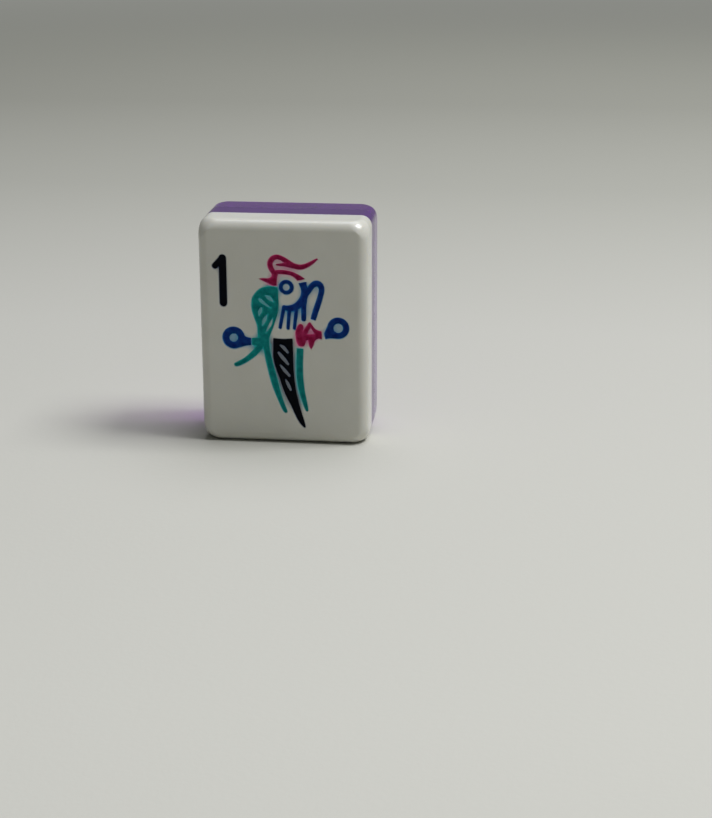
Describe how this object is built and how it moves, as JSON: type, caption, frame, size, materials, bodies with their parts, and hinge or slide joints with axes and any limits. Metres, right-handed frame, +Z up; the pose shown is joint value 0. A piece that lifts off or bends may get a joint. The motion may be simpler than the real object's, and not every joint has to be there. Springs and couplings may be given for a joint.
{
  "type": "mahjong tile",
  "caption": "Game tile of bonded layers: a white face engraved with a painted bird and numeral, a solid violet core and a clear violet back.",
  "frame": {"origin": "middle of the surface that the tile stands on, on its short edge", "axes": "+Z up along the tile's height, +X to the right of someone who looks at the engraved face, -Y out of that face, +Y out of the clear back"},
  "size_m": [0.0222, 0.0132, 0.03],
  "materials": {
    "white_resin": "polished",
    "violet_resin": "polished",
    "clear_violet_resin": "polished, clear tint",
    "black_paint": "satin enamel paint",
    "red_paint": "satin enamel paint",
    "blue_paint": "satin enamel paint",
    "green_paint": "satin enamel paint"
  },
  "bodies": {
    "root": {"face_block": "white_resin", "core_layer": "violet_resin", "back_layer": "clear_violet_resin", "index_one_paint": "black_paint", "tail_feather_paint": "black_paint", "crest_paint": "red_paint", "flower_paint": "red_paint", "eye_ring_paint": "blue_paint", "collar_paint": "blue_paint", "left_ring_paint": "blue_paint", "right_ring_paint": "blue_paint", "wing_paint": "green_paint", "right_tail_paint": "green_paint"}
  },
  "joints": []
}
